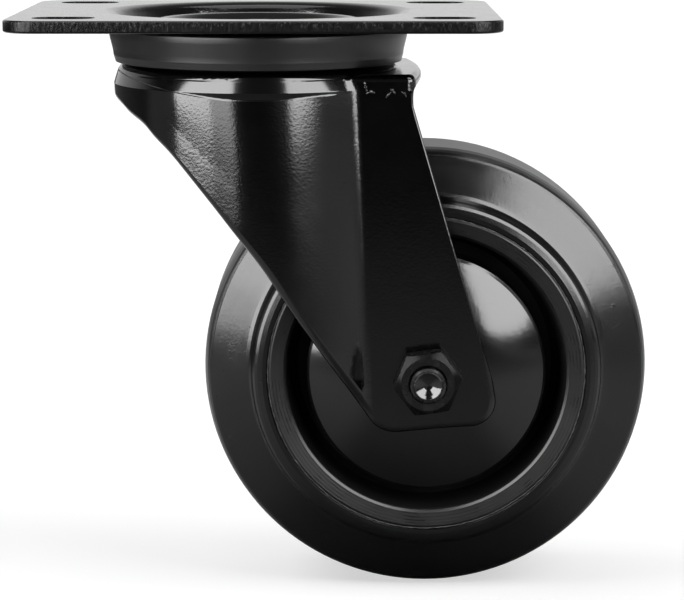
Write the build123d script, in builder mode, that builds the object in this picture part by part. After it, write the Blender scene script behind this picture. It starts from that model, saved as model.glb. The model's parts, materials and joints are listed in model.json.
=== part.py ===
from build123d import *
import math
import os

# Swivel plate castor: a pressed top plate, a pressed fork on a double ball
# swivel head, and a rubber-tyred wheel on two ball bearings.
# Frame: +Z up, origin on the swivel axis at the top (mounting) face of the
# plate. The wheel trails towards +X, its axle lies along Y, the nut is on the
# -Y side and the bolt head on the +Y side.

# ---------------------------------------------------------------- dimensions
plate_length = 137.0
plate_width = 105.0
plate_t = 3.5
plate_corner_r = 9.0
slot_pitch_x = 105.0
slot_pitch_y = 77.0
slot_length = 17.5
slot_width = 11.0

dish_r = 44.5            # where the flat of the plate starts to dip
valley_r = 36.3
valley_drop = 5.6
ridge_r = 28.5           # pressed ring over the upper ball track
ridge_drop = 2.35
floor_r = 21.0
floor_drop = 6.0

upper_ball_r = 4.0
upper_ball_z = -9.9
upper_ball_count = 21
lower_ball_r = 3.0
lower_ball_pitch_r = 20.6
lower_ball_z = -18.3
lower_ball_count = 20
track_gap = 0.05

pin_r = 8.0
pin_shoulder_r = 15.0
cup_top = -20.6
cup_bottom = -23.8

crown_top = -15.0
sheet_t = 3.0
boss_top = -12.9         # raised middle of the crown that carries both tracks
crown_hole_r = 17.3
head_r = 42.0            # outer radius of the round head
head_top_r = 40.75
leg_outer_y = 32.0
leg_blend_r = 6.0        # hollow bend between the round head and the flat leg
leg_lean = 4.8           # how far the bend moves back towards the foot
step_z = -20.6           # lower end of the tapered band of the head
ear_top = -16.2          # the crown behind the round head lies a little lower
crown_rear_x = 44.6
crown_rear_bow = 2.6
edge_round = 2.0         # rolled front edge of the legs
back_edge_round = 0.5

wheel_d = 128.4
wheel_offset = 48.5      # swivel axis to axle
axle_z = -102.7
leg_hole_r = 5.2

bolt_r = 5.0
bolt_af = 17.0
bolt_head_h = 6.4
bolt_end_y = -42.6
nut_h = 8.0
nut_turn = -8.0

bearing_bore_r = 7.5
bearing_od_r = 17.5
bearing_w = 11.0
bearing_face_y = 23.8    # outer face of each bearing from the mid-plane
bearing_ball_r = 2.97
bearing_pitch_r = 12.5
bearing_balls = 8

os.makedirs("parts", exist_ok=True)

leg_inner_y = leg_outer_y - sheet_t
wheel_r = wheel_d / 2
wheel_axis = Axis((wheel_offset, 0, axle_z), (0, 1, 0))
# section plane of everything turned about the axle: local x is the distance
# along the axle, local y is the radius
wheel_plane = Plane(origin=(wheel_offset, 0, axle_z), x_dir=(0, 1, 0), z_dir=(1, 0, 0))


def save(name, builder):
    builder.part.label = name
    export_step(builder.part, "parts/%s.step" % name)


# ------------------------------------------------------------------ top plate
# Pressed section: a dish with a raised ring whose underside is the upper ball
# track. The underside follows the same section, one sheet thickness lower.
groove_r = upper_ball_r + track_gap
groove_dx = groove_r * math.sin(math.radians(58))
groove_z = upper_ball_z + groove_r * math.cos(math.radians(58))
with BuildPart() as top_plate:
    with BuildSketch(Plane.XY.offset(-plate_t)):
        RectangleRounded(plate_length, plate_width, plate_corner_r)
        Circle(dish_r + 0.6, mode=Mode.SUBTRACT)
    extrude(amount=plate_t)
    with BuildSketch(Plane.XZ):
        with BuildLine():
            Spline(
                (dish_r + 0.6, 0),
                (dish_r - 0.8, -0.2),
                (dish_r - 3.4, -1.35),
                (valley_r + 2.6, -valley_drop + 0.85),
                (valley_r, -valley_drop),
                (valley_r - 2.4, -valley_drop + 0.7),
                (ridge_r + 1.9, -ridge_drop - 0.55),
                (ridge_r, -ridge_drop),
                (ridge_r - 1.9, -ridge_drop - 0.55),
                (floor_r + 1.3, -floor_drop + 0.4),
                (floor_r - 0.8, -floor_drop),
                tangents=((-1, 0), (-1, 0)),
            )
            Polyline(
                (floor_r - 0.8, -floor_drop),
                (pin_r + 0.02, -floor_drop),
                (pin_r + 0.02, -floor_drop - plate_t),
                (floor_r - 0.3, -floor_drop - plate_t),
                (ridge_r - groove_dx, groove_z),
            )
            ThreePointArc(
                (ridge_r - groove_dx, groove_z),
                (ridge_r, upper_ball_z + groove_r),
                (ridge_r + groove_dx, groove_z),
            )
            Polyline(
                (ridge_r + groove_dx, groove_z),
                (valley_r - 0.9, -valley_drop - plate_t),
                (valley_r + 1.0, -valley_drop - plate_t),
                (dish_r - 2.8, -plate_t - 0.6),
                (dish_r + 0.6, -plate_t),
                (dish_r + 0.6, 0),
            )
        make_face()
    revolve(axis=Axis.Z)
    with BuildSketch(Plane.XY):
        with GridLocations(slot_pitch_x, slot_pitch_y, 2, 2):
            SlotOverall(slot_length, slot_width)
    extrude(amount=-plate_t, mode=Mode.SUBTRACT)
    outer_edges = top_plate.edges().filter_by(
        lambda e: abs(e.center().Z) < 0.01 or abs(e.center().Z + plate_t) < 0.01
    ).filter_by(
        lambda e: abs(e.center().X) > plate_length / 2 - 4
        or abs(e.center().Y) > plate_width / 2 - 4
    )
    fillet(outer_edges, radius=0.7)
save("top_plate", top_plate)

# ------------------------------------------------------------------- king pin
# Shouldered rivet: peened over in the dish above, headed below the race cup.
with BuildPart() as king_pin:
    with BuildSketch(Plane.XZ):
        with BuildLine():
            Line((0, -3.1), (6.0, -3.1))
            ThreePointArc((6.0, -3.1), (9.6, -4.2), (11.4, -floor_drop))
            Polyline(
                (11.4, -floor_drop),
                (pin_r, -floor_drop),
                (pin_r, -floor_drop - plate_t),
                (pin_shoulder_r, -floor_drop - plate_t),
                (pin_shoulder_r, cup_top),
                (pin_r, cup_top),
                (pin_r, cup_bottom),
                (13.5, cup_bottom),
            )
            ThreePointArc((13.5, cup_bottom), (9.6, cup_bottom - 3.5), (4.0, cup_bottom - 4.8))
            Polyline((4.0, cup_bottom - 4.8), (0, cup_bottom - 4.8), (0, -3.1))
        make_face()
    revolve(axis=Axis.Z)
save("king_pin", king_pin)

# ------------------------------------------------------------- lower race cup
cup_groove_r = lower_ball_r + track_gap
cup_dx = math.sqrt(cup_groove_r ** 2 - (lower_ball_z - cup_top) ** 2)
with BuildPart() as lower_race_cup:
    with BuildSketch(Plane.XZ):
        with BuildLine():
            Line((pin_r + 0.02, cup_top), (lower_ball_pitch_r - cup_dx, cup_top))
            ThreePointArc(
                (lower_ball_pitch_r - cup_dx, cup_top),
                (lower_ball_pitch_r, lower_ball_z - cup_groove_r),
                (lower_ball_pitch_r + cup_dx, cup_top),
            )
            Polyline(
                (lower_ball_pitch_r + cup_dx, cup_top),
                (lower_ball_pitch_r + 3.5, cup_top + 1.2),
                (lower_ball_pitch_r + 3.7, cup_top + 3.6),
                (lower_ball_pitch_r + 6.2, cup_top + 3.6),
                (lower_ball_pitch_r + 6.2, cup_top + 0.6),
                (lower_ball_pitch_r + 3.6, cup_bottom),
                (pin_r + 0.02, cup_bottom),
                (pin_r + 0.02, cup_top),
            )
        make_face()
    revolve(axis=Axis.Z)
save("lower_race_cup", lower_race_cup)

# ---------------------------------------------------------------- swivel balls
with BuildPart() as upper_balls:
    with Locations((0, 0, upper_ball_z)):
        with PolarLocations(ridge_r, upper_ball_count):
            Sphere(upper_ball_r - 0.02)
save("upper_balls", upper_balls)

with BuildPart() as lower_balls:
    with Locations((0, 0, lower_ball_z)):
        with PolarLocations(lower_ball_pitch_r, lower_ball_count):
            Sphere(lower_ball_r - 0.02)
save("lower_balls", lower_balls)

# ------------------------------------------------------------------- dust ring
# Tapered ring round the upper balls, standing on the crown.
with BuildPart() as dust_ring:
    with BuildSketch(Plane.XZ):
        with BuildLine():
            Line((41.5, -14.35), (42.05, -12.4))
            Spline((42.05, -12.4), (42.4, -10.2), (43.0, -7.8), (43.3, -5.3))
            Polyline(
                (43.3, -5.3), (42.9, -4.9), (41.7, -4.9), (40.0, -11.0),
                (39.4, -12.8), (35.4, -12.8), (35.4, crown_top + 0.05),
                (37.9, crown_top + 0.05), (38.4, -14.45), (41.2, -14.45), (41.5, -14.35),
            )
        make_face()
    revolve(axis=Axis.Z)
save("dust_ring", dust_ring)


# ----------------------------------------------------------------------- fork
# One pressed sheet. In plan it is a horseshoe: a round head that meets two
# flat legs in a hollow bend. The crown closes it above, the back is open, and
# the front is trimmed by a line that sweeps down and back to the axle.
def horseshoe(cx, r, half_y, blend, x_end, bow=0.0):
    """Outline of the fork in plan, as a sketch in its own XY plane."""
    xf = cx + math.sqrt((r + blend) ** 2 - (half_y + blend) ** 2)
    k = r / (r + blend)
    tx, ty = cx + k * (xf - cx), k * (half_y + blend)
    dx, dy = (tx - xf) / blend, (ty - half_y - blend) / blend - 1
    n = math.hypot(dx, dy)
    mx, my = xf + blend * dx / n, half_y + blend + blend * dy / n
    with BuildSketch() as outline:
        with BuildLine():
            Line((x_end, -half_y), (xf, -half_y))
            ThreePointArc((xf, -half_y), (mx, -my), (tx, -ty))
            ThreePointArc((tx, -ty), (cx - r, 0), (tx, ty))
            ThreePointArc((tx, ty), (mx, my), (xf, half_y))
            Line((xf, half_y), (x_end, half_y))
            if bow:
                ThreePointArc((x_end, half_y), (x_end + bow, 0), (x_end, -half_y))
            else:
                Line((x_end, half_y), (x_end, -half_y))
        make_face()
    return outline.sketch


foot_z = -120.0
with BuildPart() as fork_cavity:
    with BuildSketch(Plane.XY.offset(ear_top - sheet_t)):
        add(horseshoe(0, head_top_r - sheet_t + 0.4, leg_inner_y, leg_blend_r + sheet_t, 90))
    with BuildSketch(Plane.XY.offset(step_z)):
        add(horseshoe(0, head_r - sheet_t, leg_inner_y, leg_blend_r + sheet_t, 90))
    loft(ruled=True)
    with BuildSketch(Plane.XY.offset(step_z)):
        add(horseshoe(0, head_r - sheet_t, leg_inner_y, leg_blend_r + sheet_t, 90))
    with BuildSketch(Plane.XY.offset(foot_z - 1)):
        add(horseshoe(leg_lean, head_r - sheet_t, leg_inner_y, leg_blend_r + sheet_t, 90))
    loft(ruled=True)
    with BuildSketch(Plane.XY.offset(ear_top - sheet_t - 1)):
        Circle(head_top_r - sheet_t - 0.6)
    extrude(amount=crown_top - ear_top + 1)

lower_groove_r = lower_ball_r + track_gap
lower_dx = math.sqrt(lower_groove_r ** 2 - (boss_top - sheet_t - lower_ball_z) ** 2)
upper_dx = math.sqrt(groove_r ** 2 - (boss_top - upper_ball_z) ** 2)
with BuildPart() as crown_boss:
    with BuildSketch(Plane.XZ):
        with BuildLine():
            Polyline(
                (36.0, crown_top), (34.4, crown_top), (33.0, boss_top),
                (ridge_r + upper_dx, boss_top),
            )
            ThreePointArc(
                (ridge_r + upper_dx, boss_top),
                (ridge_r, upper_ball_z - groove_r),
                (ridge_r - upper_dx, boss_top),
            )
            Polyline(
                (ridge_r - upper_dx, boss_top),
                (crown_hole_r, boss_top),
                (crown_hole_r, boss_top - sheet_t),
                (lower_ball_pitch_r - lower_dx, boss_top - sheet_t),
            )
            ThreePointArc(
                (lower_ball_pitch_r - lower_dx, boss_top - sheet_t),
                (lower_ball_pitch_r, lower_ball_z + lower_groove_r),
                (lower_ball_pitch_r + lower_dx, boss_top - sheet_t),
            )
            Polyline(
                (lower_ball_pitch_r + lower_dx, boss_top - sheet_t),
                (31.6, boss_top - sheet_t),
                (33.0, crown_top - sheet_t),
                (36.0, crown_top - sheet_t),
                (36.0, crown_top),
            )
        make_face()
    revolve(axis=Axis.Z)

def outer_depth(p):
    """How far a point lies inside the outer skin of the fork, in plan."""
    cx = leg_lean * max(0.0, step_z - p.Z) / (step_z - foot_z)
    xf = cx + math.sqrt((head_r + leg_blend_r) ** 2 - (leg_outer_y + leg_blend_r) ** 2)
    tx = cx + head_r / (head_r + leg_blend_r) * (xf - cx)
    if p.X >= xf:
        return leg_outer_y - abs(p.Y)
    if p.X <= tx:
        return head_r - math.hypot(p.X - cx, p.Y)
    return math.hypot(p.X - xf, abs(p.Y) - leg_outer_y - leg_blend_r) - leg_blend_r


def behind_leg(p):
    """How far a point lies ahead of the slanted back edge of the legs."""
    return back_top[0] + (back_top[1] - p.Z) * back_slope - p.X


def edge_points(e):
    return [e.position_at(t) for t in (0.1, 0.3, 0.5, 0.7, 0.9)]


def is_front_edge(e):
    pts = edge_points(e)
    run = pts[4] - pts[0]
    upright = abs(run.X) < 0.12 * abs(run.Z) and abs(run.Y) < 0.2 * abs(run.Z) and abs(run.Z) > 5
    at_hole = math.hypot(pts[2].X - wheel_offset, pts[2].Z - axle_z) < leg_hole_r + 1
    return (
        all(abs(outer_depth(p)) < 0.06 and p.Z < -23.9 for p in pts)
        and not all(abs(behind_leg(p)) < 1.5 for p in pts)
        and not upright
        and not at_hole
    )


def is_back_edge(e):
    return all(
        abs(abs(p.Y) - leg_outer_y) < 0.05 and abs(behind_leg(p)) < 1.5 and p.Z < -23
        for p in edge_points(e)
    )


back_top = (44.2, -25.2)
back_slope = (55.4 - 44.2) / (63.4 - 25.2)
front_line = [
    (-46.0, -24.3), (-42.0, -24.5), (-40.1, -25.3), (-37.8, -26.5), (-36.1, -27.8), (-33.8, -29.2),
    (-31.0, -31.1), (-29.1, -33.1), (-24.7, -37.2), (-20.8, -41.4), (-15.4, -47.8),
    (-10.1, -54.3), (-5.0, -60.8), (1.0, -68.4), (6.0, -75.8), (11.3, -84.0), (20.4, -97.4), (28.4, -109.2),
]
with BuildPart() as fork:
    with BuildSketch(Plane.XY.offset(ear_top)):
        add(horseshoe(0, head_top_r - 0.1, leg_outer_y, leg_blend_r, crown_rear_x, crown_rear_bow))
    with BuildSketch(Plane.XY.offset(step_z)):
        add(horseshoe(0, head_r, leg_outer_y, leg_blend_r, crown_rear_x, crown_rear_bow))
    loft(ruled=True)
    corners = fork.edges().filter_by(
        lambda e: e.center().X > 43 and abs(abs(e.center().Y) - leg_outer_y) < 0.1
        and abs(e.center().Z - (ear_top + step_z) / 2) < 0.5
    )
    fillet(corners, radius=2.6)
    rim = fork.faces().sort_by(Axis.Z)[-1].outer_wire().edges()
    fillet(rim, radius=2.0)
    with BuildSketch(Plane.XZ):
        with BuildLine():
            Polyline((0, step_z), (head_r, step_z), (head_top_r + 0.16, crown_top - 2.2))
            ThreePointArc(
                (head_top_r + 0.16, crown_top - 2.2), (head_top_r - 0.75, crown_top - 0.62),
                (head_top_r - 2.6, crown_top),
            )
            Polyline((head_top_r - 2.6, crown_top), (0, crown_top), (0, step_z))
        make_face()
    revolve(axis=Axis.Z)
    with BuildSketch(Plane.XY.offset(step_z)):
        add(horseshoe(0, head_r, leg_outer_y, leg_blend_r, 80))
    with BuildSketch(Plane.XY.offset(foot_z)):
        add(horseshoe(leg_lean, head_r, leg_outer_y, leg_blend_r, 80))
    loft(ruled=True)
    add(fork_cavity.part, mode=Mode.SUBTRACT)
    with BuildSketch(Plane.XY.offset(crown_top + 1)):
        Circle(35.5)
    extrude(amount=-6, mode=Mode.SUBTRACT)
    add(crown_boss.part)
    with BuildSketch(Plane.XZ) as side_view:
        with BuildLine():
            Spline(*front_line)
            Polyline((28.4, -109.2), (35.0, -119.0), (52.0, -117.4))
            Polyline((52.0, -117.4), (69.6, -116.3), (67.4, -104.0), (55.4, -63.4), (44.2, -25.2))
            Polyline((44.2, -25.2), (44.2, -22.6))
            Spline((44.2, -22.6), (44.9, -19.6), (48.6, -18.2), tangents=((0, 1), (1, 0.1)))
            Polyline((48.6, -18.2), (48.6, -5), (-46, -5), (-46.0, -24.3))
        make_face()
        fillet(side_view.vertices().filter_by(lambda v: v.X > 69), radius=7.5)
        fillet(side_view.vertices().filter_by(lambda v: 34.5 < v.X < 35.5 and v.Y < -117), radius=9.0)
        fillet(side_view.vertices().filter_by(lambda v: 44 < v.X < 44.4 and v.Y < -25), radius=12.0)
    extrude(amount=60, both=True, mode=Mode.INTERSECT)
    with BuildSketch(Plane(origin=(wheel_offset, 0, axle_z), x_dir=(1, 0, 0), z_dir=(0, -1, 0))):
        Circle(leg_hole_r)
    extrude(amount=60, both=True, mode=Mode.SUBTRACT)
    # the trimmed front and foot are rolled round, the back edge only broken
    fillet(fork.edges().filter_by(is_front_edge), radius=edge_round)
    fillet(fork.edges().filter_by(is_back_edge), radius=back_edge_round)
save("fork", fork)


# ------------------------------------------------------------- axle and spacers
def hex_blank(y0, y1, turn):
    """Hexagon prism along the axle between two stations."""
    lo, hi = min(y0, y1), max(y0, y1)
    face = Plane(origin=(wheel_offset, lo, axle_z), x_dir=(1, 0, 0), z_dir=(0, 1, 0))
    with BuildPart() as blank:
        with BuildSketch(face):
            RegularPolygon(bolt_af / 2, 6, major_radius=False, rotation=turn)
        extrude(amount=hi - lo)
    return blank.part


hex_corner_r = bolt_af / 2 / math.cos(math.radians(30))
head_y0 = leg_outer_y
head_y1 = leg_outer_y + bolt_head_h
cup_r = 3.7
with BuildPart() as axle_bolt:
    with BuildSketch(wheel_plane):
        with BuildLine():
            Polyline(
                (bolt_end_y + 1.5, 0), (bolt_end_y + 1.25, 1.3), (bolt_end_y + 0.5, 2.9),
                (bolt_end_y, cup_r), (bolt_end_y, 4.35), (bolt_end_y + 0.65, bolt_r - 0.02),
                (head_y0, bolt_r - 0.02), (head_y0 + 3, bolt_r - 0.02), (head_y0 + 3, 0),
                (bolt_end_y + 1.5, 0),
            )
        make_face()
    revolve(axis=wheel_axis)
    add(hex_blank(head_y0, head_y1, 11))
    with BuildSketch(wheel_plane):
        with BuildLine():
            Polyline(
                (bolt_end_y - 1, 0), (bolt_end_y - 1, bolt_r + 0.5), (head_y0, bolt_r + 0.5),
                (head_y0, hex_corner_r + 0.1), (head_y1 - 1.35, hex_corner_r + 0.1),
                (head_y1, 7.9), (head_y1, 0), (bolt_end_y - 1, 0),
            )
        make_face()
    revolve(axis=wheel_axis, mode=Mode.INTERSECT)
save("axle_bolt", axle_bolt)

nut_y0 = -leg_outer_y - nut_h
nut_y1 = -leg_outer_y
with BuildPart() as axle_nut:
    add(hex_blank(nut_y0, nut_y1, nut_turn))
    with BuildSketch(wheel_plane):
        with BuildLine():
            Polyline(
                (nut_y0, bolt_r + 0.55), (nut_y0, 7.6), (nut_y0 + 1.25, hex_corner_r + 0.05),
                (nut_y1 - 1.25, hex_corner_r + 0.05), (nut_y1, 7.6), (nut_y1, bolt_r + 0.55),
                (nut_y1 - 0.55, bolt_r), (nut_y0 + 0.55, bolt_r), (nut_y0, bolt_r + 0.55),
            )
        make_face()
    revolve(axis=wheel_axis, mode=Mode.INTERSECT)
save("axle_nut", axle_nut)

sleeve_end = leg_inner_y - 0.02
with BuildPart() as axle_sleeve:
    with BuildSketch(wheel_plane):
        with Locations((0, (bearing_bore_r + 5.15) / 2)):
            Rectangle(2 * sleeve_end, bearing_bore_r - 5.15 - 0.02)
    revolve(axis=wheel_axis)
save("axle_sleeve", axle_sleeve)

for side, name in ((-1, "nut_side_spacer"), (1, "head_side_spacer")):
    with BuildPart() as side_spacer:
        with BuildSketch(wheel_plane):
            with BuildLine():
                Polyline(
                    (side * (bearing_face_y + 0.02), bearing_bore_r),
                    (side * (bearing_face_y + 0.02), 9.6),
                    (side * (bearing_face_y + 1.4), 10.3),
                    (side * sleeve_end, 10.3),
                    (side * sleeve_end, bearing_bore_r),
                    (side * (bearing_face_y + 0.02), bearing_bore_r),
                )
            make_face()
        revolve(axis=wheel_axis)
    save(name, side_spacer)

inner_gap_y = bearing_face_y - bearing_w
with BuildPart() as inner_spacer:
    with BuildSketch(wheel_plane):
        with Locations((0, (bearing_bore_r + 9.4) / 2)):
            Rectangle(2 * (inner_gap_y - 0.02), 9.4 - bearing_bore_r)
    revolve(axis=wheel_axis)
save("inner_spacer", inner_spacer)

# -------------------------------------------------------------- wheel bearings
race_r = bearing_ball_r + 0.06
inner_ring_r = 10.3
outer_ring_r = 14.7
for side, tag in ((-1, "nut_side"), (1, "head_side")):
    mid = side * (bearing_face_y - bearing_w / 2)
    half = bearing_w / 2 - 0.02

    with BuildPart() as inner_ring:
        with BuildSketch(wheel_plane):
            with Locations((mid, (bearing_bore_r + inner_ring_r) / 2)):
                Rectangle(2 * half, inner_ring_r - bearing_bore_r)
            with Locations((mid, bearing_pitch_r)):
                Circle(race_r, mode=Mode.SUBTRACT)
        revolve(axis=wheel_axis)
    save(tag + "_inner_ring", inner_ring)

    with BuildPart() as outer_ring:
        with BuildSketch(wheel_plane):
            with Locations((mid, (bearing_od_r - 0.04 + outer_ring_r) / 2)):
                Rectangle(2 * half, bearing_od_r - 0.04 - outer_ring_r)
            with Locations((mid, bearing_pitch_r)):
                Circle(race_r, mode=Mode.SUBTRACT)
        revolve(axis=wheel_axis)
    save(tag + "_outer_ring", outer_ring)

    ball_plane = Plane(origin=(wheel_offset, mid, axle_z), x_dir=(1, 0, 0), z_dir=(0, 1, 0))
    with BuildPart() as bearing_ball_set:
        with Locations(ball_plane):
            with PolarLocations(bearing_pitch_r, bearing_balls):
                Sphere(bearing_ball_r)
    save(tag + "_bearing_balls", bearing_ball_set)

    with BuildPart() as ball_cage:
        with BuildSketch(wheel_plane):
            with Locations((mid, bearing_pitch_r)):
                Rectangle(7.8, 1.8)
        revolve(axis=wheel_axis)
        with Locations(ball_plane):
            with PolarLocations(bearing_pitch_r, bearing_balls):
                Cylinder(bearing_ball_r + 0.08, 6, rotation=(0, 90, 0), mode=Mode.SUBTRACT)
    save(tag + "_ball_cage", ball_cage)

    for place, y in (("outer", mid + side * 4.85), ("inner", mid - side * 4.85)):
        with BuildPart() as shield:
            with BuildSketch(wheel_plane):
                with Locations((y, (inner_ring_r + 0.25 + outer_ring_r - 0.02) / 2)):
                    Rectangle(0.5, outer_ring_r - 0.02 - inner_ring_r - 0.25)
            revolve(axis=wheel_axis)
        save("%s_%s_shield" % (tag, place), shield)

# ------------------------------------------------------------------ wheel core
# Moulded centre: hub barrel, web, a ring that the hub covers clip over, and a
# deep rim whose lips stand out beside the tyre.
core_half = [
    (inner_gap_y + 0.02, 14.9), (inner_gap_y + 0.02, bearing_od_r),
    (bearing_face_y - 0.2, bearing_od_r), (bearing_face_y - 0.2, 20.6),
    (bearing_face_y - 1.0, 21.5), (8.0, 22.5), (6.5, 24.0), (6.5, 28.6), (8.0, 29.6),
    (18.5, 30.0), (18.5, 32.3), (8.5, 32.5), (7.0, 34.0), (7.0, 37.2), (8.6, 38.9),
    (22.6, 40.1), (23.3, 40.5), (23.8, 41.2), (24.6, 44.8), (24.5, 45.3), (24.2, 45.55),
    (23.4, 45.55), (21.5, 44.4),
]
with BuildPart() as wheel_core:
    with BuildSketch(wheel_plane):
        with BuildLine():
            Polyline(
                *core_half,
                *[(-y, r) for y, r in reversed(core_half)],
                close=True,
            )
        make_face()
    revolve(axis=wheel_axis)
save("wheel_core", wheel_core)

# ----------------------------------------------------------------- hub covers
cover_t = 1.5
for side, name in ((-1, "nut_side_hub_cover"), (1, "head_side_hub_cover")):
    with BuildPart() as hub_cover:
        with BuildSketch(wheel_plane):
            with BuildLine():
                ThreePointArc((side * 27.5, 11.6), (side * 26.1, 24.0), (side * 22.9, 33.6))
                Line((side * 22.9, 33.6), (side * 22.2, 34.4))
                Line((side * 22.2, 34.4), (side * 10.0, 34.4))
                Line((side * 10.0, 34.4), (side * 10.0, 32.55))
                Line((side * 10.0, 32.55), (side * 21.4, 32.55))
                ThreePointArc((side * 21.4, 32.55), (side * 24.6, 23.6), (side * 26.0, 11.6))
                Line((side * 26.0, 11.6), (side * 27.5, 11.6))
            make_face()
        revolve(axis=wheel_axis)
    save(name, hub_cover)

# ------------------------------------------------------------------------ tyre
tyre_half = [
    (23.4, 45.6), (24.4, 45.6), (24.9, 46.1), (24.95, 47.2), (24.7, 48.6), (24.2, 49.4),
    (23.3, 50.05), (22.1, 50.5), (21.2, 51.2), (20.7, 52.2), (20.4, 53.1), (17.6, 61.9),
    (17.1, 62.6), (16.2, 63.2), (14.4, 63.75), (11.7, wheel_r),
]
with BuildPart() as tyre:
    with BuildSketch(wheel_plane):
        with BuildLine():
            Polyline(
                (21.5, 44.45),
                *tyre_half,
                *[(-y, r) for y, r in reversed(tyre_half)],
                (-21.5, 44.45),
                close=True,
            )
        make_face()
    revolve(axis=wheel_axis)
save("tyre", tyre)
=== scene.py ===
import json
import math

import bpy
import numpy as np
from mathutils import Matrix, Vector

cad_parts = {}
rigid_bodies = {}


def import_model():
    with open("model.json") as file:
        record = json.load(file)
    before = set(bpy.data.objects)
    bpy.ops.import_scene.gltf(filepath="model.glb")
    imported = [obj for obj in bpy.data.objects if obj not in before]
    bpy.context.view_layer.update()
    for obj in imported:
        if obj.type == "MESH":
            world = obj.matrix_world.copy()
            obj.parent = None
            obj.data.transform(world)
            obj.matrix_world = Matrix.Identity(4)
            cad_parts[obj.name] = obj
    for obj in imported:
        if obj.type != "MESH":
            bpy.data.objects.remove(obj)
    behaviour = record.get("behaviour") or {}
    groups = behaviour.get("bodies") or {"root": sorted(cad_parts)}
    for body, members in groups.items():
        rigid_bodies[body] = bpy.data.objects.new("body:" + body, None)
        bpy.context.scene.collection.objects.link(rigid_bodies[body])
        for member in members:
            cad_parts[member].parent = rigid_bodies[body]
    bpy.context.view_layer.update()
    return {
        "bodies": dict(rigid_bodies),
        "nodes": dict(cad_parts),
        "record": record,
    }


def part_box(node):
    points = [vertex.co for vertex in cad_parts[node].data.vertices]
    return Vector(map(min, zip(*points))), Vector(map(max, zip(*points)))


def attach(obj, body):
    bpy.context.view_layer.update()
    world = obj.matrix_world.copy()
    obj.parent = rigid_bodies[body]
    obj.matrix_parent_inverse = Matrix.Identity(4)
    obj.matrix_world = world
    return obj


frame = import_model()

MM = 0.001
nodes = frame["nodes"]

AXLE = (48.5 * MM, -102.7 * MM)      # x, z of the axle
FLOOR_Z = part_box("tyre")[0].z


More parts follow.
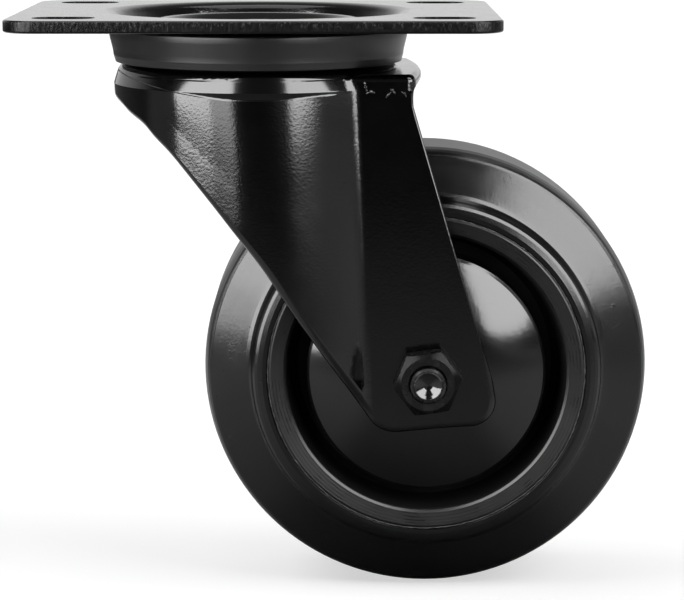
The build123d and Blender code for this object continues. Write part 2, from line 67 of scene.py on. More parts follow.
# --------------------------------------------------------------- node helpers
class Graph:
    """Short ways to build one material's nodes."""

    def __init__(self, name):
        self.mat = bpy.data.materials.new(name)
        self.mat.use_nodes = True
        self.t = self.mat.node_tree
        self.bsdf = self.t.nodes["Principled BSDF"]
        self.pos = self.new("ShaderNodeTexCoord").outputs["Object"]

    def new(self, kind, **props):
        n = self.t.nodes.new(kind)
        for k, v in props.items():
            setattr(n, k, v)
        return n

    def put(self, socket, value):
        if isinstance(value, bpy.types.NodeSocket):
            self.t.links.new(value, socket)
        elif value is not None:
            socket.default_value = value

    def math(self, op, a, b=None, c=None, clamp=False):
        n = self.new("ShaderNodeMath", operation=op, use_clamp=clamp)
        self.put(n.inputs[0], a)
        self.put(n.inputs[1], b)
        if c is not None:
            self.put(n.inputs[2], c)
        return n.outputs[0]

    def vec(self, op, a, b=None):
        n = self.new("ShaderNodeVectorMath", operation=op)
        self.put(n.inputs[0], a)
        self.put(n.inputs[1], b)
        return n.outputs[0] if op not in ("LENGTH", "DISTANCE", "DOT_PRODUCT") else n.outputs["Value"]

    def split(self, v):
        n = self.new("ShaderNodeSeparateXYZ")
        self.put(n.inputs[0], v)
        return n.outputs[0], n.outputs[1], n.outputs[2]

    def join(self, x, y, z):
        n = self.new("ShaderNodeCombineXYZ")
        for s, v in zip(n.inputs, (x, y, z)):
            self.put(s, v)
        return n.outputs[0]

    def remap(self, v, a, b, lo=0.0, hi=1.0, smooth=True):
        n = self.new("ShaderNodeMapRange", interpolation_type="SMOOTHSTEP" if smooth else "LINEAR")
        self.put(n.inputs["Value"], v)
        for k, val in (("From Min", a), ("From Max", b), ("To Min", lo), ("To Max", hi)):
            n.inputs[k].default_value = val
        return n.outputs["Result"]

    def noise(self, size, detail=2.0, rough=0.5, vector=None, distortion=0.0, kind="FBM"):
        """Noise whose lumps are about `size` metres across."""
        n = self.new("ShaderNodeTexNoise")
        self.put(n.inputs["Vector"], vector or self.pos)
        n.inputs["Scale"].default_value = 1.0 / size
        n.inputs["Detail"].default_value = detail
        n.inputs["Roughness"].default_value = rough
        n.inputs["Distortion"].default_value = distortion
        return n.outputs[0]

    def voronoi(self, size, feature="F1", vector=None, randomness=1.0):
        n = self.new("ShaderNodeTexVoronoi", feature=feature)
        self.put(n.inputs["Vector"], vector or self.pos)
        n.inputs["Scale"].default_value = 1.0 / size
        n.inputs["Randomness"].default_value = randomness
        return n.outputs[0]

    def bump(self, height, depth, normal=None, strength=1.0):
        """height 0..1 raised by `depth` metres."""
        n = self.new("ShaderNodeBump")
        self.put(n.inputs["Height"], height)
        n.inputs["Distance"].default_value = depth
        self.put(n.inputs["Strength"], strength)
        if normal is not None:
            self.put(n.inputs["Normal"], normal)
        return n.outputs[0]

    def mix(self, f, a, b):
        n = self.new("ShaderNodeMix", data_type="RGBA")
        self.put(n.inputs[0], f)
        self.put(n.inputs[6], a)
        self.put(n.inputs[7], b)
        return n.outputs[2]

    def blend(self, f, a, b):
        n = self.new("ShaderNodeMix", data_type="FLOAT")
        self.put(n.inputs[0], f)
        self.put(n.inputs[2], a)
        self.put(n.inputs[3], b)
        return n.outputs[0]

    def axle_radius(self):
        """Distance from the axle, and position with the axle at the origin."""
        x, y, z = self.split(self.pos)
        dx, dz = self.math("SUBTRACT", x, AXLE[0]), self.math("SUBTRACT", z, AXLE[1])
        r = self.math("SQRT", self.math("ADD", self.math("MULTIPLY", dx, dx), self.math("MULTIPLY", dz, dz)))
        return r, dx, y, dz

    def head_radius(self):
        x, y, z = self.split(self.pos)
        return self.math("SQRT", self.math("ADD", self.math("MULTIPLY", x, x), self.math("MULTIPLY", y, y)))

    def edge(self, radius, lo=0.02, hi=0.25):
        """1 on convex and hollow edges, 0 on open faces."""
        b = self.new("ShaderNodeBevel", samples=6)
        b.inputs["Radius"].default_value = radius
        g = self.new("ShaderNodeNewGeometry").outputs["Normal"]
        d = self.vec("DOT_PRODUCT", b.outputs[0], g)
        return self.remap(self.math("SUBTRACT", 1.0, d), lo, hi)

    def finish(self, base, rough, normal=None, **fixed):
        self.put(self.bsdf.inputs["Base Color"], base)
        self.put(self.bsdf.inputs["Roughness"], rough)
        if normal is not None:
            self.put(self.bsdf.inputs["Normal"], normal)
        for k, v in fixed.items():
            self.bsdf.inputs[k].default_value = v
        return self.mat


def grey(v, warm=0.0):
    return (v * (1 + warm), v, v * (1 - warm), 1.0)


# ------------------------------------------------------------------ materials
def enamel(name, peel, peel_depth, base=0.005, rough=0.13, on_fork=False, on_plate=False):
    """Black oven enamel over pressed steel: orange peel, soft waviness, dust specks, rubbed edges."""
    g = Graph(name)
    x, y, z = g.split(g.pos)
    wave = g.noise(0.016, 1.5, 0.45)
    peel_n = g.noise(peel, 1.0, 0.5)
    fine = g.noise(peel * 0.45, 1.0, 0.5)
    mottled = g.noise(0.009, 3.0, 0.6)
    spec = None
    rough_v = g.math("ADD", rough - 0.03, g.math("MULTIPLY", mottled, 0.06))
    base_c = g.mix(g.remap(mottled, 0.3, 0.75), grey(base * 0.8), grey(base * 1.35))
    strength = 1.0
    if on_fork:
        # the turned cap of the round head is smooth down to a curved press line
        r = g.head_radius()
        xs = g.math("SUBTRACT", x, 0.002)
        line = g.math("ADD", -0.0224, g.math("MULTIPLY", g.math("MULTIPLY", xs, xs), 3.3))
        above = g.math("SUBTRACT", z, line)
        smooth = g.math("MULTIPLY", g.remap(above, -0.0003, 0.0002), g.remap(x, 0.022, 0.030, 1.0, 0.0))
        strength = g.blend(smooth, 1.0, 0.12)
        rough_v = g.blend(smooth, rough_v, 0.12)
        # the metal draws in slightly between the taper and the line
        neck_in = g.math("MULTIPLY", g.remap(z, -0.0224, -0.0204, 0.0, 1.0, smooth=False), g.remap(above, -0.0004, 0.0))
        neck_in = g.math("MULTIPLY", neck_in, g.remap(x, 0.018, 0.026, 1.0, 0.0))
    n = g.bump(wave, 0.00004)
    if on_fork:
        n = g.bump(neck_in, 0.00022, n)
    n = g.bump(peel_n, peel_depth, n, strength)
    n = g.bump(fine, peel_depth * 0.35, n, strength)
    if on_plate:
        # the sheared rim: torn, pitted metal under the paint, chipped bright in its upper half
        nx, ny, nz = g.split(g.new("ShaderNodeTexCoord").outputs["Normal"])
        r = g.head_radius()
        side = g.math("MULTIPLY", g.remap(g.math("ABSOLUTE", nz), 0.45, 0.8, 1.0, 0.0), g.remap(r, 0.046, 0.0475))
        torn_at = g.join(g.math("MULTIPLY", x, 1.0), g.math("MULTIPLY", y, 1.0), g.math("MULTIPLY", z, 0.55))
        torn = g.noise(0.0011, 4.0, 0.62, torn_at, 0.6)
        pits = g.voronoi(0.0009, vector=torn_at)
        n2 = g.bump(torn, 0.00014, n, side)
        n2 = g.bump(pits, 0.00005, n2, side)
        n = n2
        spec = g.blend(side, 0.5, 0.14)
        upper = g.remap(z, -0.0026, -0.0009)
        flake = g.remap(g.noise(0.0008, 3.0, 0.6, torn_at), 0.57, 0.63)
        chip = g.math("MULTIPLY", g.math("MULTIPLY", side, upper), flake)
        base_c = g.mix(side, base_c, grey(0.002))
        base_c = g.mix(g.math("MULTIPLY", chip, 0.8), base_c, grey(0.16))
        rough_v = g.blend(side, rough_v, 0.30)
        rough_v = g.blend(chip, rough_v, 0.22)
    rub = g.math("MULTIPLY", g.edge(0.0006), g.remap(g.noise(0.0022, 3.0, 0.6), 0.42, 0.66))
    base_c = g.mix(g.math("MULTIPLY", rub, 0.45), base_c, grey(0.045))
    rough_v = g.blend(g.math("MULTIPLY", rub, 0.5), rough_v, 0.38)
    specks = g.remap(g.voronoi(0.004, "F1"), 0.03, 0.05, 1.0, 0.0)
    base_c = g.mix(g.math("MULTIPLY", specks, 0.20), base_c, grey(0.10))
    if spec is None:
        return g.finish(base_c, rough_v, n, **{"Specular IOR Level": 0.5})
    g.put(g.bsdf.inputs["Specular IOR Level"], spec)
    return g.finish(base_c, rough_v, n)


def rubber():
    g = Graph("tyre_rubber_mat")
    r, dx, y, dz = g.axle_radius()
    angle = g.math("ARCTAN2", dz, dx)
    grain = g.noise(0.0007, 3.0, 0.6)
    cloud = g.noise(0.018, 3.0, 0.55)
    # bloom and handling marks follow the sidewall round
    streak = g.noise(0.010, 3.0, 0.6, g.join(g.math("MULTIPLY", r, 3.0), g.math("MULTIPLY", angle, 0.02), 0.0))
    scuff = g.remap(g.noise(0.0035, 4.0, 0.65), 0.56, 0.74)
    tread = g.remap(r, 0.0615, 0.0635)
    base = g.mix(g.remap(cloud, 0.35, 0.7), grey(0.006), grey(0.010))
    base = g.mix(g.math("MULTIPLY", scuff, g.math("ADD", 0.18, g.math("MULTIPLY", tread, 0.35))), base, grey(0.035))
    specks = g.remap(g.voronoi(0.0016), 0.06, 0.12, 1.0, 0.0)
    kept = g.remap(g.noise(0.006, 3.0, 0.6), 0.50, 0.66)
    base = g.mix(g.math("MULTIPLY", g.math("MULTIPLY", specks, kept), 0.55), base, grey(0.07))
    rough = g.math("ADD", 0.11, g.math("MULTIPLY", streak, 0.08))
    rough = g.math("ADD", rough, g.math("MULTIPLY", cloud, 0.06))
    rough = g.blend(g.math("MULTIPLY", tread, 0.6), rough, 0.52)
    rings = g.new("ShaderNodeTexWave", wave_type="BANDS", bands_direction="X")
    g.put(rings.inputs["Vector"], g.join(r, 0.0, 0.0))
    rings.inputs["Scale"].default_value = 900.0
    rings.inputs["Distortion"].default_value = 0.6
    n = g.bump(cloud, 0.00008)
    n = g.bump(grain, 0.000012, n)
    n = g.bump(rings.outputs[1], 0.000005, n)
    n = g.bump(streak, 0.00003, n)
    n = g.bump(scuff, 0.000015, n)
    return g.finish(base, rough, n, **{"Specular IOR Level": 0.42})


def flash():
    """The thin dusty line of rubber squeezed out where the tyre meets the core."""
    g = Graph("flash_rubber_mat")
    dust = g.remap(g.noise(0.0022, 4.0, 0.65), 0.44, 0.66)
    grain = g.noise(0.0004, 3.0, 0.6)
    base = g.mix(dust, grey(0.010), grey(0.085))
    rough = g.math("ADD", 0.40, g.math("MULTIPLY", grain, 0.25))
    return g.finish(base, rough, g.bump(grain, 0.00003))


def core():
    g = Graph("core_plastic_mat")
    r, dx, y, dz = g.axle_radius()
    cloud = g.noise(0.012, 3.0, 0.55)
    rings = g.new("ShaderNodeTexWave", wave_type="BANDS", bands_direction="X")
    g.put(rings.inputs["Vector"], g.join(r, 0.0, 0.0))
    rings.inputs["Scale"].default_value = 340.0
    rings.inputs["Distortion"].default_value = 1.2
    rings.inputs["Detail"].default_value = 2.0
    tool = rings.outputs[1]
    grain = g.noise(0.0005, 2.0, 0.5)
    # painted shade: the recess inside the rim gets a darker colour, and is also rougher and less glossy
    recess_painted_dark = g.remap(r, 0.0403, 0.0407, 1.0, 0.0)
    base = g.mix(g.remap(cloud, 0.3, 0.7), grey(0.006), grey(0.010))
    base = g.mix(recess_painted_dark, base, grey(0.002))
    rough = g.math("ADD", 0.22, g.math("MULTIPLY", cloud, 0.12))
    rough = g.math("ADD", rough, g.math("MULTIPLY", tool, 0.05))
    rough = g.blend(recess_painted_dark, rough, 0.55)
    n = g.bump(tool, 0.000012)
    n = g.bump(grain, 0.000006, n)
    g.put(g.bsdf.inputs["Specular IOR Level"], g.blend(recess_painted_dark, 0.40, 0.12))
    return g.finish(base, rough, n)


def gloss():
    g = Graph("cover_gloss_mat")
    cloud = g.noise(0.02, 2.0, 0.5)
    hair = g.noise(0.0009, 3.0, 0.7, g.vec("MULTIPLY", g.pos, (1.0, 1.0, 9.0)))
    dust = g.remap(g.voronoi(0.0035), 0.035, 0.06, 1.0, 0.0)
    base = g.mix(g.remap(cloud, 0.3, 0.7), grey(0.005), grey(0.008))
    base = g.mix(g.math("MULTIPLY", dust, 0.2), base, grey(0.06))
    rough = g.math("ADD", 0.13, g.math("MULTIPLY", g.remap(hair, 0.5, 0.8), 0.06))
    n = g.bump(cloud, 0.00006)
    n = g.bump(g.noise(0.0009, 1.5, 0.5), 0.000010, n)
    return g.finish(base, rough, n)


def satin():
    g = Graph("seal_plastic_mat")
    x, y, z = g.split(g.pos)
    cloud = g.noise(0.012, 3.0, 0.55)
    grain = g.noise(0.0006, 3.0, 0.6)
    ring = g.noise(0.0008, 2.0, 0.5, g.join(0.0, 0.0, z))
    base = g.mix(g.remap(cloud, 0.3, 0.7), grey(0.009), grey(0.013))
    rough = g.math("ADD", 0.28, g.math("MULTIPLY", cloud, 0.12))
    n = g.bump(cloud, 0.00004)
    n = g.bump(ring, 0.00002, n)
    n = g.bump(grain, 0.000012, n)
    return g.finish(base, rough, n, **{"Specular IOR Level": 0.38})


def fastener():
    """Black-finished bolt and nut steel, with bright corners where a spanner has been."""
    g = Graph("black_fastener_mat")
    cloud = g.noise(0.003, 3.0, 0.6)
    fine = g.noise(0.0004, 3.0, 0.6)
    rub = g.math("MULTIPLY", g.edge(0.00016, 0.05, 0.25), g.remap(g.noise(0.0012, 3.0, 0.6), 0.40, 0.62))
    r, dx, y, dz = g.axle_radius()
    # the cup in the end of the bolt is bright bare metal, the rest is blacked
    cup = g.math("MULTIPLY", g.remap(r, 0.0036, 0.0038, 1.0, 0.0), g.remap(y, -0.0380, -0.0360, 1.0, 0.0))
    base = g.mix(g.remap(cloud, 0.35, 0.7), grey(0.006), grey(0.014, 0.02))
    base = g.mix(g.math("MULTIPLY", rub, 0.55), base, grey(0.22, 0.01))
    base = g.mix(cup, base, grey(0.05))
    rough = g.math("ADD", 0.20, g.math("MULTIPLY", cloud, 0.14))
    rough = g.blend(cup, rough, 0.12)
    n = g.bump(cloud, 0.00002)
    n = g.bump(fine, 0.000006, n)
    # the turned chamfer of the nut is dull, with a thin bright line where it meets the face
    dull = g.math("MULTIPLY", g.remap(r, 0.0074, 0.0077), g.remap(y, -0.0388, -0.0384, 1.0, 0.0))
    g.put(g.bsdf.inputs["Specular IOR Level"], g.blend(cup, g.blend(dull, 0.34, 0.07), 0.5))
    g.put(g.bsdf.inputs["Metallic"], g.blend(cup, g.math("MULTIPLY", rub, 0.4), 0.85))
    return g.finish(base, rough, n)


def steel(name, tone, rough0, turned):
    g = Graph(name)
    cloud = g.noise(0.004, 3.0, 0.6)
    fine = g.noise(0.0003, 2.0, 0.5, g.vec("MULTIPLY", g.pos, turned))
    oil = g.remap(g.noise(0.006, 2.0, 0.5), 0.4, 0.7)
    base = g.mix(g.remap(cloud, 0.3, 0.7), grey(tone * 0.85, 0.03), grey(tone, 0.01))
    base = g.mix(g.math("MULTIPLY", oil, 0.25), base, grey(tone * 0.45, 0.08))
    rough = g.math("ADD", rough0, g.math("MULTIPLY", cloud, 0.14))
    n = g.bump(fine, 0.000008)
    return g.finish(base, rough, n, **{"Metallic": 1.0})


MATS = {
    "plate_paint": enamel("plate_paint_mat", 0.0009, 0.000024, base=0.0035, on_plate=True),
    "fork_paint": enamel("fork_paint_mat", 0.00075, 0.000020, base=0.0028, rough=0.13, on_fork=True),
    "seal_plastic": satin(),
    "black_fastener": fastener(),
    "bare_steel": steel("bare_steel_mat", 0.42, 0.26, (1.0, 1.0, 6.0)),
    "bearing_steel": steel("bearing_steel_mat", 0.55, 0.14, (1.0, 8.0, 1.0)),
    "ball_steel": steel("ball_steel_mat", 0.62, 0.07, (1.0, 1.0, 1.0)),
    "core_plastic": core(),
    "cover_gloss": gloss(),
    "tyre_rubber": rubber(),
}
slot_of = {}
for part in frame["record"]["subparts"]:
    slot_of[part.get("node") or part.get("name")] = part.get("material") or part.get("slot")
for name, obj in nodes.items():
    for i, ms in enumerate(obj.material_slots):
        key = (ms.material.name if ms.material else "").split(".")[0]
        key = key if key in MATS else slot_of.get(name)
        obj.material_slots[i].material = MATS[key]


# ------------------------------------------------------------ modelled details
def mesh_piece(name, verts, faces, material, body):
    me = bpy.data.meshes.new(name)
    me.from_pydata([tuple(map(float, v)) for v in verts], [], faces)
    me.validate()
    me.materials.append(material)
    me.shade_smooth()
    ob = bpy.data.objects.new(name, me)
    bpy.context.scene.collection.objects.link(ob)
    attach(ob, body)
    return ob


def body_named(node):
    """The body that carries a CAD node."""
    ob = nodes[node]
    while ob is not None:
        for name, body in frame["bodies"].items():
            if ob == body or ob.name == name:
                return name
        ob = ob.parent
    raise RuntimeError("no body carries " + node)


def closed_grid(rows, cols):
    """Faces of a tube of quads: `rows` rings of `cols` points, closed both ways."""
    return [
        (i * cols + j, i * cols + (j + 1) % cols,
         ((i + 1) % rows) * cols + (j + 1) % cols, ((i + 1) % rows) * cols + j)
        for i in range(rows) for j in range(cols)
    ]


FRONT = [
    (-46.0, -24.3), (-42.0, -24.5), (-40.1, -25.3), (-37.8, -26.5), (-36.1, -27.8), (-33.8, -29.2),
    (-31.0, -31.1), (-29.1, -33.1), (-24.7, -37.2), (-20.8, -41.4), (-15.4, -47.8), (-10.1, -54.3),
    (-5.0, -60.8), (1.0, -68.4), (6.0, -75.8), (11.3, -84.0), (20.4, -97.4), (28.4, -109.2),
]


def ramp(v, a, b):
    t = np.clip((np.asarray(v, float) - a) / (b - a), 0, 1)
    return t * t * (3 - 2 * t)


def pressed_head():
    """The skin of the round head below the curved line left by the press, standing a little proud of it."""
    cols = 360
    reach = math.acos(-25.4 / 42.0)
    phi = np.linspace(-reach, reach, cols)
    x0 = -42.0 * np.cos(phi)
    line = np.minimum(-22.4 + 0.0033 * (x0 - 2.0) ** 2, -19.9)
    fx, fz = zip(*FRONT)
    steep = np.interp(x0, fx[:-1], np.diff(fz) / np.diff(fx))
    low = np.maximum(np.interp(x0, fx, fz) + 3.1 * np.sqrt(1 + steep ** 2), line - 42.0)
    # the line wanders a little, and dies away at the front of the head
    wander = 0.10 * np.sin(phi * 7.0 + 0.6) + 0.06 * np.sin(phi * 17.0)
    shown = ramp(x0, -33.0, -22.0)
    rows = [line + 0.9 - 2.0 * t for t in np.linspace(0, 1, 30)[:-1]]
    rows += [line - 1.1 + (low - line + 1.1) * t for t in np.linspace(0, 1, 48)]
    z = np.array(rows)
    n = len(z)
    u = z + 20.6
    lip = 0.19 * ramp(line + wander - z, -0.12, 0.42)
    out = -0.02 + lip
    out = out + (-0.16 - out) * ramp(z - line - wander, 0.05, 0.75)
    out = out + (-0.05 - out) * ramp((line - 1.0 - z) / (line - 1.0 - low + 1e-9), 0.0, 1.0)
    hide = np.maximum(ramp(np.abs(phi), reach - 0.16, reach), 1 - shown)
    out = out + (-0.16 - out) * hide[None, :]
    edge_rows = np.zeros(n)
    edge_rows[0] = 1
    edge_rows[-1] = 1
    lean = np.where(z < -20.6, 4.8 * (-20.6 - z) / (-20.6 + 120.0), 0.0)
    taper = 0.3206 * np.maximum(u, 0)
    r = 42.0 - taper + out
    r = r - 0.12 * edge_rows[:, None]
    outer = np.stack([lean - r * np.cos(phi), -r * np.sin(phi), z], -1)
    ri = 42.0 - taper - 0.9
    inner = np.stack([lean - ri * np.cos(phi), -ri * np.sin(phi), z], -1)
    verts = np.concatenate([outer.reshape(-1, 3), inner.reshape(-1, 3)]) * MM
    at = lambda k, i, j: k * n * cols + i * cols + j
    faces = []
    for i in range(n - 1):
        for j in range(cols - 1):
            faces.append((at(0, i, j), at(0, i, j + 1), at(0, i + 1, j + 1), at(0, i + 1, j)))
            faces.append((at(1, i, j), at(1, i + 1, j), at(1, i + 1, j + 1), at(1, i, j + 1)))
    for j in range(cols - 1):
        faces.append((at(0, 0, j), at(1, 0, j), at(1, 0, j + 1), at(0, 0, j + 1)))
        faces.append((at(0, n - 1, j), at(0, n - 1, j + 1), at(1, n - 1, j + 1), at(1, n - 1, j)))
    for i in range(n - 1):
        faces.append((at(0, i, 0), at(0, i + 1, 0), at(1, i + 1, 0), at(1, i, 0)))
        faces.append((at(0, i, cols - 1), at(1, i, cols - 1), at(1, i + 1, cols - 1), at(0, i + 1, cols - 1)))
    return mesh_piece("fork_pressed_head", verts, faces, MATS["fork_paint"], body_named("fork"))


def wheel_ring(name, r, y, tube_r, tube_y, rough_r, rough_y, seed, material, cols=900, rows=8):
    """A thin uneven ring about the axle, such as the flash where two parts meet."""
    rng = np.random.default_rng(seed)
    t = np.linspace(0, 2 * math.pi, cols, endpoint=False)

    def uneven(waves):
        v = np.zeros(cols)
        for k in waves:
            v += rng.normal() * np.cos(k * t) + rng.normal() * np.sin(k * t)
        return v / math.sqrt(len(waves))

    dr = rough_r * uneven([3, 5, 9, 14, 23, 37, 58, 83, 117])
    dy = rough_y * uneven([2, 4, 11, 19, 31, 47, 71, 101])
    size = 1 + 0.35 * np.tanh(uneven([4, 7, 13, 29, 53, 89, 131]))
    verts = []
    for k in range(rows):
        a = 2 * math.pi * k / rows
        rr = r + dr + tube_r * size * math.cos(a)
        yy = y + math.copysign(1, y) * (dy + tube_y * size * math.sin(a))
        verts.append(np.stack([AXLE[0] / MM + rr * np.cos(t), yy, AXLE[1] / MM + rr * np.sin(t)], -1))
    verts = np.concatenate(verts) * MM
    faces = closed_grid(rows, cols)
    if y > 0:
        faces = [f[::-1] for f in faces]
    return mesh_piece(name, verts, faces, material, body_named("tyre" if "flash" in name else "axle_bolt"))


def scar(name, points, width, height, seed):
    """A raised sliver of metal and paint on the flat of the leg, through (x, z) points."""
    rng = np.random.default_rng(seed)
    pts = np.array(points, float)
    d = np.r_[0, np.cumsum(np.hypot(*np.diff(pts, axis=0).T))]
    n = 48
    t = np.linspace(0, d[-1], n)
    x, z = np.interp(t, d, pts[:, 0]), np.interp(t, d, pts[:, 1])
    for _ in range(5):
        x[1:-1] = (x[:-2] + 2 * x[1:-1] + x[2:]) / 4
        z[1:-1] = (z[:-2] + 2 * z[1:-1] + z[2:]) / 4
    tx, tz = np.gradient(x), np.gradient(z)
    k = np.hypot(tx, tz)
    tx, tz = tx / k, tz / k
    swell = np.sin(np.pi * t / d[-1]) ** 0.6 * (1 + 0.3 * np.interp(t, np.linspace(0, d[-1], 9), rng.normal(size=9)))
    swell = np.maximum(swell, 0.04)
    ring = 12
    verts = []
    for i in range(n):
        for j in range(ring):
            a = 2 * math.pi * j / ring
            s_ = 0.5 * width * swell[i] * math.cos(a)
            h = height * swell[i] * math.sin(a) if math.sin(a) > 0 else 0.35 * math.sin(a)
            verts.append((x[i] - tz[i] * s_, -32.0 - h + 0.03, z[i] + tx[i] * s_))
    faces = [
        (i * ring + j, (i + 1) * ring + j, (i + 1) * ring + (j + 1) % ring, i * ring + (j + 1) % ring)
        for i in range(n - 1) for j in range(ring)
    ]
    faces += [tuple(range(ring)), tuple((n - 1) * ring + j for j in range(ring - 1, -1, -1))]
    return mesh_piece(name, np.array(verts) * MM, faces, MATS["fork_paint"], body_named("fork"))


flash_rubber = flash()
pressed_head()
scar("fork_scar_1", [(30.5, -17.9), (30.8, -19.4), (31.3, -21.2)], 0.75, 0.32, 1)
scar("fork_scar_2", [(31.0, -21.5), (32.2, -20.9), (33.5, -21.3)], 0.85, 0.30, 2)
scar("fork_scar_3", [(36.5, -22.6), (37.3, -21.7), (38.0, -21.0)], 0.80, 0.30, 3)
scar("fork_scar_4", [(37.8, -20.1), (38.5, -20.6), (39.2, -21.6)], 0.85, 0.32, 4)
scar("fork_scar_5", [(40.6, -20.8), (41.6, -21.3), (42.3, -22.4)], 0.60, 0.20, 5)
for side, tag in ((-1, "nut_side"), (1, "head_side")):
    wheel_ring(f"{tag}_flash_line", 45.52, side * 24.66, 0.15, 0.17, 0.05, 0.03, 7 + side, flash_rubber)
wheel_ring("bolt_end_lip", 3.86, -42.55, 0.17, 0.12, 0.004, 0.003, 3, MATS["black_fastener"], cols=160)


# -------------------------------------------------------------- floor, lights
def plane(name, z):
    me = bpy.data.meshes.new(name)
    e = 14.0
    me.from_pydata([(-e, -e, 0), (e, -e, 0), (e, e, 0), (-e, e, 0)], [], [(0, 1, 2, 3)])
    ob = bpy.data.objects.new(name, me)
    ob.location = (0, 0, z)
    bpy.context.scene.collection.objects.link(ob)
    return ob


def make_floor():
    """A pale lit table for the picture, and under it the dimmer table that the gloss shows, with painted light and
    shade on it.
    """
    top = plane("floor", FLOOR_Z - 0.00002)
    g = Graph("floor_mat")
    n = g.noise(0.4, 2.0, 0.5)
    g.finish(g.mix(n, grey(0.345), grey(0.355)), 0.8, **{"Specular IOR Level": 0.0})
    g.bsdf.inputs["Emission Color"].default_value = (1, 1, 1, 1)
    g.bsdf.inputs["Emission Strength"].default_value = 0.60
    top.data.materials.append(g.mat)
    top.visible_glossy = False
    top.visible_diffuse = False
    under = plane("floor_under", FLOOR_Z - 0.0002)
    g = Graph("floor_under_mat")
    x, y, z = g.split(g.pos)
    back = g.remap(y, -0.05, 0.2)
    side = g.remap(x, 0.25, 0.8)
    pale = g.math("MAXIMUM", back, side)
    far = g.remap(y, -1.05, -0.25)
    # painted light on the floor close beside the wheel, painted shade straight in front of it, darkest far in front
    off = g.math("ABSOLUTE", g.math("SUBTRACT", x, 0.048))
    beside = g.math("MULTIPLY", g.math("MULTIPLY", g.remap(off, 0.035, 0.075), g.remap(off, 0.30, 0.50, 1.0, 0.0)), g.remap(y, -0.42, -0.24))
    painted_light_and_shade_front = g.mix(beside, g.mix(far, grey(0.05), grey(0.42)), grey(0.88))
    # painted shade on the floor behind to the left and at the right rear
    painted_shade_right_rear = g.math("MULTIPLY", g.remap(x, 0.35, 0.7), g.remap(y, 0.0, 0.4))
    behind = g.mix(g.remap(x, -0.5, -0.25), grey(0.10), g.mix(painted_shade_right_rear, grey(0.90), grey(0.50)))
    g.finish(g.mix(pale, painted_light_and_shade_front, behind), 0.8, **{"Specular IOR Level": 0.0})
    under.data.materials.append(g.mat)
    under.visible_camera = False


def area(name, at, target, size, watts, colour=(1, 1, 1)):
    lamp = bpy.data.lights.new(name, "AREA")
    lamp.shape = "RECTANGLE"
    lamp.size, lamp.size_y = size
    lamp.energy = watts
    lamp.color = colour
    ob = bpy.data.objects.new(name, lamp)
    ob.location = at
    ob.rotation_euler = (Vector(target) - Vector(at)).to_track_quat("-Z", "Y").to_euler()
    ob.visible_camera = False
    bpy.context.scene.collection.objects.link(ob)
    return ob


def around(azimuth, elevation, distance, centre=(0.0, 0.0, -0.05)):
    """A point seen from the centre; azimuth 0 is towards the camera, positive to the right."""
    a, e = math.radians(azimuth), math.radians(elevation)
    return (
        centre[0] + distance * math.cos(e) * math.sin(a),
        centre[1] - distance * math.cos(e) * math.cos(a),
        centre[2] + distance * math.sin(e),
    )


def softbox(name, strips, top, radiance, distance=0.6, feather=0.012, layers=3):
    """An upright soft box near the object, in strips (azimuth from, azimuth to, height of its lower edge)."""
    for i, (a0, a1, bottom) in enumerate(strips):
        a = math.radians(0.5 * (a0 + a1))
        x, y = distance * math.sin(a), -distance * math.cos(a)
        wide = 2 * distance * math.tan(math.radians(a1 - a0) / 2)
        for k in range(layers):
            # the layers stand one in front of the other, each a little shorter
            grow = feather * (0.5 - (k + 0.5) / layers)
            tall = top - bottom + 2 * grow
            at = (x * (1 + 0.004 * k), y * (1 + 0.004 * k), 0.5 * (bottom + top))
            ob = area(f"{name}_{i}_{k}", at, (0, 0, at[2]), (wide, tall), radiance / layers * math.pi * wide * tall)
            # it shapes the gloss; the even light comes from above
            ob.visible_diffuse = False


def floor_sun(name, azimuth, elevation, strength, spread):
    """Broad light on the floor only, for the soft shadow beside the wheel."""
    lamp = bpy.data.lights.new(name, "SUN")
    lamp.energy = strength
    lamp.angle = math.radians(spread)
    ob = bpy.data.objects.new(name, lamp)
    ob.location = around(azimuth, elevation, 2.0)
    ob.rotation_euler = (Vector((0, 0, -0.05)) - ob.location).to_track_quat("-Z", "Y").to_euler()
    bpy.context.scene.collection.objects.link(ob)
    lit = bpy.data.collections.new(name + "_lights")
    lit.objects.link(bpy.data.objects["floor"])
    ob.light_linking.receiver_collection = lit
    ob.visible_glossy = False


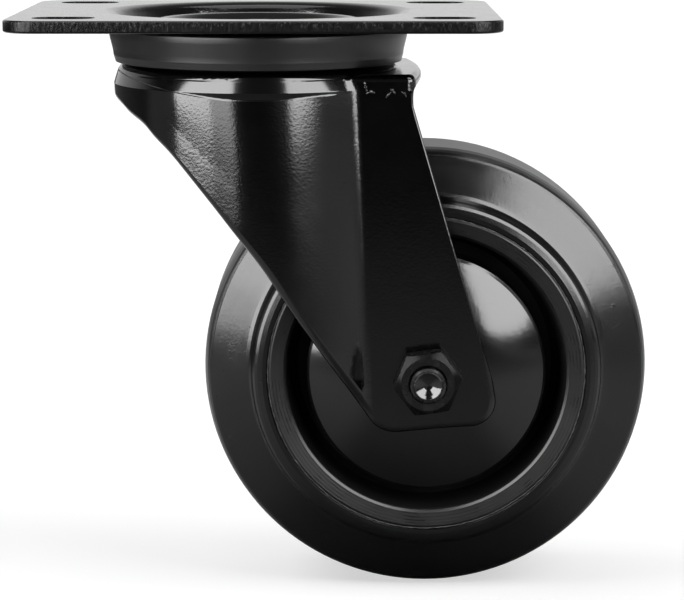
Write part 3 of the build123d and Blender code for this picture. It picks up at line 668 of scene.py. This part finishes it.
make_floor()
softbox("soft_left", [(-65.5, -36, -0.124), (-36, -18.5, -0.05)], 0.85, 12.5)
softbox("soft_left_skirt", [(-36, -18.5, -0.124)], -0.056, 6.0)
softbox("soft_right", [
    (24, 33, -0.077), (33, 38, -0.068), (38, 43, -0.056), (43, 48, -0.035), (48, 70, 0.0),
], 0.82, 11.5)
floor_sun("floor_sun_left", -88, 52, 2.2, 42)
floor_sun("floor_sun_right", 68, 48, 2.4, 42)
top = area("overhead", (0.0, 0.1, 2.2), (0.0, 0.1, 0), (1.9, 1.9), 1.7 * math.pi * 1.9 * 1.9)
fill = area("fill_top", (0.0, 2.9, 2.6), (0.0, 2.9, 0), (6.5, 6.2), 1.75 * math.pi * 6.5 * 6.2)
fill.visible_glossy = False
unlit = bpy.data.collections.new("fill_top_skips")
unlit.objects.link(bpy.data.objects["floor"])
unlit.collection_objects[0].light_linking.link_state = "EXCLUDE"
fill.light_linking.receiver_collection = unlit

# a pale sweep behind, a dark room in front
world = bpy.data.worlds.new("studio")
bpy.context.scene.world = world
world.use_nodes = True
wt = world.node_tree
bg = wt.nodes["Background"]


def world_range(source, a, b, lo, hi):
    n = wt.nodes.new("ShaderNodeMapRange")
    n.interpolation_type = "SMOOTHSTEP"
    wt.links.new(source, n.inputs["Value"])
    for k, v in (("From Min", a), ("From Max", b), ("To Min", lo), ("To Max", hi)):
        n.inputs[k].default_value = v
    return n.outputs["Result"]


def world_math(op, a, b):
    n = wt.nodes.new("ShaderNodeMath")
    n.operation = op
    for s, v in zip(n.inputs, (a, b)):
        if isinstance(v, bpy.types.NodeSocket):
            wt.links.new(v, s)
        else:
            s.default_value = v
    return n.outputs[0]


way = wt.nodes.new("ShaderNodeTexCoord").outputs["Generated"]
sep = wt.nodes.new("ShaderNodeSeparateXYZ")
wt.links.new(way, sep.inputs[0])
behind = world_range(sep.outputs[1], -0.05, 0.55, 0.0, 1.0)
low_band = world_range(sep.outputs[2], 0.26, 0.66, 1.0, 0.06)
sweep = world_math("MULTIPLY", world_math("MULTIPLY", behind, low_band), 0.84)
wt.links.new(world_math("ADD", sweep, 0.09), bg.inputs["Strength"])
bg.inputs["Color"].default_value = (1, 1, 1, 1)


# --------------------------------------------------------------------- camera
cam = bpy.data.cameras.new("camera")
cam.sensor_width = 36.0
cam.sensor_fit = "HORIZONTAL"
cam.lens = 2584.04 / 684 * 36.0
cam.clip_start, cam.clip_end = 0.01, 60
cam_ob = bpy.data.objects.new("camera", cam)
cam_ob.location = (0.02528, -0.75251, 0.04381)
cam_ob.rotation_euler = (math.radians(90 - 9.74), 0.0, math.radians(0.08))
bpy.context.scene.collection.objects.link(cam_ob)
bpy.context.scene.camera = cam_ob
bpy.context.scene.view_settings.view_transform = "Standard"
